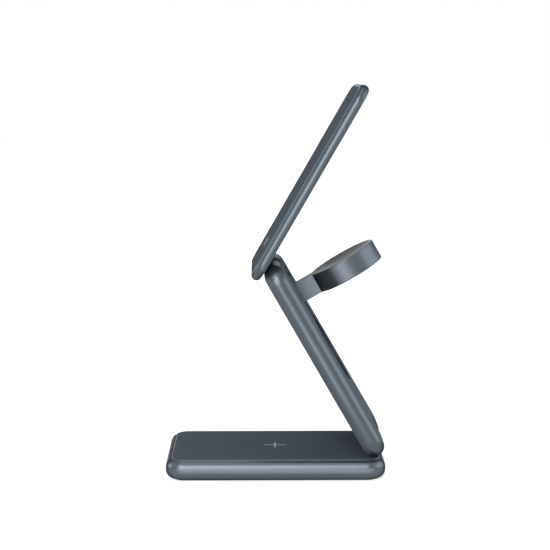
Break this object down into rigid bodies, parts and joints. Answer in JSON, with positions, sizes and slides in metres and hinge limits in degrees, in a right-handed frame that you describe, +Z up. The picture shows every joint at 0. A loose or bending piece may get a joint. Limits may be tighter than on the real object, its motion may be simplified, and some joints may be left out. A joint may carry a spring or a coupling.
{
  "type": "folding three in one wireless charger",
  "caption": "Slate grey folding wireless charging stand: flat base pad, leaning middle panel, tilted phone panel above it and a round watch puck on a short arm behind.",
  "frame": {"origin": "centre of the base's foot pad, on the surface that the stand is on", "axes": "+Z up, +X towards the hinge end of the base, where the supply socket is, +Y across the panels"},
  "size_m": [0.111, 0.074, 0.1976],
  "materials": {
    "slate_aluminium": "slate grey anodised aluminium, satin",
    "soft_pad": "slate grey soft-touch plastic, matte",
    "puck_cap": "grey plastic, satin, dished",
    "foot_rubber": "dark silicone rubber, matte",
    "copper_coil": "enamelled copper wire",
    "ferrite": "black ferrite sheet",
    "steel": "bare steel, satin",
    "nickel_magnet": "nickel-plated magnet",
    "circuit_board": "green circuit board",
    "black_nylon": "black moulded nylon",
    "bronze_bush": "sintered bronze"
  },
  "bodies": {
    "base": {"base_housing": "slate_aluminium", "base_top_pad": "soft_pad", "base_foot_pad": "foot_rubber", "base_hinge_lug": "slate_aluminium", "base_lug_screws": "steel", "base_coil": "copper_coil", "base_ferrite": "ferrite", "base_ballast": "steel", "base_board": "circuit_board", "usb_socket_shell": "steel", "usb_socket_tongue": "black_nylon", "lower_hinge_pin": "steel", "lower_hinge_washers": "steel"},
    "middle_panel": {"middle_frame": "slate_aluminium", "middle_front_cover": "slate_aluminium", "middle_flat_cable": "black_nylon", "lower_hinge_bushes": "bronze_bush", "upper_hinge_bushes": "bronze_bush", "watch_hinge_bushes": "bronze_bush"},
    "watch_charger": {"watch_arm": "slate_aluminium", "watch_cap": "puck_cap", "watch_coil": "copper_coil", "watch_ferrite": "ferrite", "watch_magnet": "nickel_magnet", "watch_hinge_pin": "steel"},
    "phone_panel": {"phone_back_shell": "slate_aluminium", "phone_front_panel": "soft_pad", "phone_hinge_lug": "slate_aluminium", "phone_lug_screws": "steel", "phone_coil": "copper_coil", "phone_ferrite": "ferrite", "phone_magnet_ring": "nickel_magnet", "phone_align_magnet": "nickel_magnet", "phone_board": "circuit_board", "upper_hinge_pin": "steel", "upper_hinge_washers": "steel"}
  },
  "joints": [
    {"name": "lower_hinge", "type": "hinge", "parent": "base", "child": "middle_panel", "pos_m": [0.0496, 0, 0.0164], "axis": [0, 1, 0], "range_deg": [-60, 0]},
    {"name": "upper_hinge", "type": "hinge", "parent": "middle_panel", "child": "phone_panel", "pos_m": [-0.0004, 0, 0.103], "axis": [0, 1, 0], "range_deg": [0, 120]},
    {"name": "watch_hinge", "type": "hinge", "parent": "middle_panel", "child": "watch_charger", "pos_m": [0.008, 0, 0.08845], "axis": [0, 1, 0], "range_deg": [0, 90]}
  ],
  "couplings": [
    {"joint": "upper_hinge", "follows": "lower_hinge", "ratio": -2},
    {"joint": "watch_hinge", "follows": "lower_hinge", "ratio": -1.5}
  ]
}
